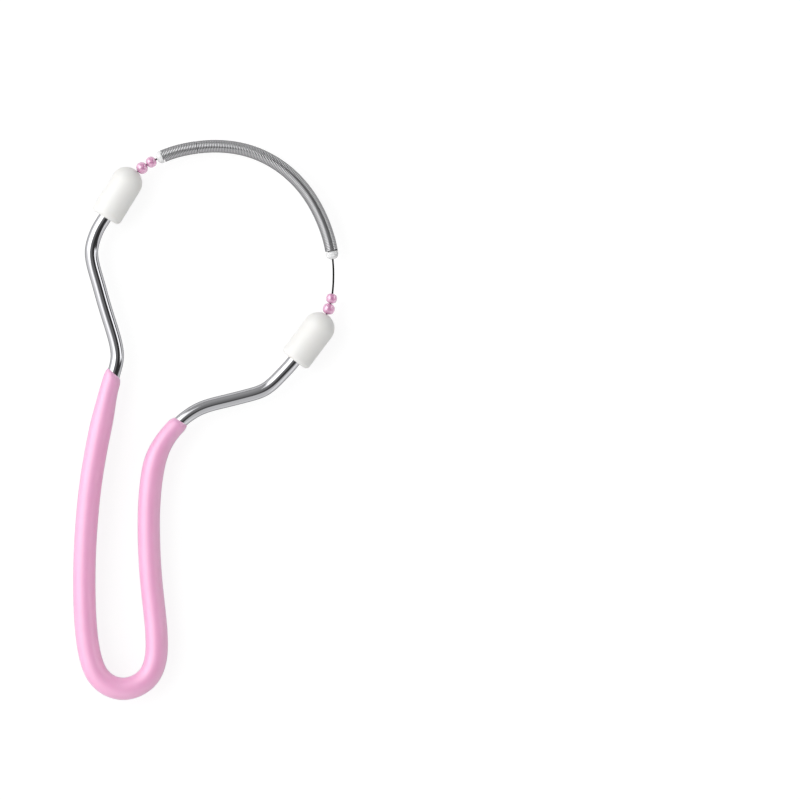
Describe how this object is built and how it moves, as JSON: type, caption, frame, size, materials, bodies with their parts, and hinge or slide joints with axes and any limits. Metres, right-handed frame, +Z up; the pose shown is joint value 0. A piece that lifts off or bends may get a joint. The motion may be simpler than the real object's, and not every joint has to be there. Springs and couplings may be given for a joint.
{
  "type": "facial hair removal spring",
  "caption": "Hand tool for facial hair: a bowed coil spring strung on a wire between the capped arms of a bent steel rod, with a soft grip sleeve over its U.",
  "frame": {"origin": "middle of the tool's outline, on the surface that the caps rest on when it lies flat", "axes": "+Y from the grip towards the open head, +X towards the right arm, +Z up off the surface it lies on"},
  "size_m": [0.052, 0.1098, 0.0063],
  "materials": {
    "rod_steel": "polished",
    "sleeve_pink": "satin",
    "cap_white": "satin moulded",
    "crimp_brass": "plain",
    "wire_dark": "dark drawn",
    "bead_pink": "glossy",
    "spring_steel": "satin",
    "plug_pale": "translucent"
  },
  "bodies": {
    "handle": {"handle_rod": "rod_steel", "grip_sleeve": "sleeve_pink", "left_cap": "cap_white", "right_cap": "cap_white", "left_crimp": "crimp_brass", "right_crimp": "crimp_brass", "core_wire": "wire_dark"},
    "spring": {"coil_spring": "spring_steel"},
    "left_plug": {"left_end_plug": "plug_pale"},
    "right_plug": {"right_end_plug": "plug_pale"},
    "left_bead_inner": {"left_inner_bead": "bead_pink"},
    "left_bead_outer": {"left_outer_bead": "bead_pink"},
    "right_bead_inner": {"right_inner_bead": "bead_pink"},
    "right_bead_outer": {"right_outer_bead": "bead_pink"}
  },
  "joints": [
    {"name": "spring_slide", "type": "hinge", "parent": "handle", "child": "spring", "pos_m": [0.00123, 0.02959, 0.00315], "axis": [0, 0, -1], "range_deg": [0, 14.5]},
    {"name": "left_plug_spin", "type": "hinge", "parent": "spring", "child": "left_plug", "pos_m": [-0.00819, 0.05179, 0.00315], "axis": [0.9238, 0.3829, 0], "continuous": true},
    {"name": "right_plug_spin", "type": "hinge", "parent": "spring", "child": "right_plug", "pos_m": [0.02474, 0.03298, 0.00315], "axis": [0.1645, -0.9864, 0], "continuous": true},
    {"name": "left_inner_bead_spin", "type": "hinge", "parent": "handle", "child": "left_bead_inner", "pos_m": [-0.01239, 0.04946, 0.00315], "axis": [0.816, 0.5781, 0], "continuous": true},
    {"name": "left_outer_bead_spin", "type": "hinge", "parent": "handle", "child": "left_bead_outer", "pos_m": [-0.01051, 0.05065, 0.00315], "axis": [0.8702, 0.4927, 0], "continuous": true},
    {"name": "right_inner_bead_spin", "type": "hinge", "parent": "handle", "child": "right_bead_inner", "pos_m": [0.02419, 0.02184, 0.00315], "axis": [-0.3339, -0.9426, 0], "continuous": true},
    {"name": "right_outer_bead_spin", "type": "hinge", "parent": "handle", "child": "right_bead_outer", "pos_m": [0.02475, 0.02399, 0.00315], "axis": [-0.1762, -0.9844, 0], "continuous": true}
  ],
  "couplings": [
    {"joint": "right_plug_spin", "follows": "left_plug_spin", "ratio": 1}
  ]
}
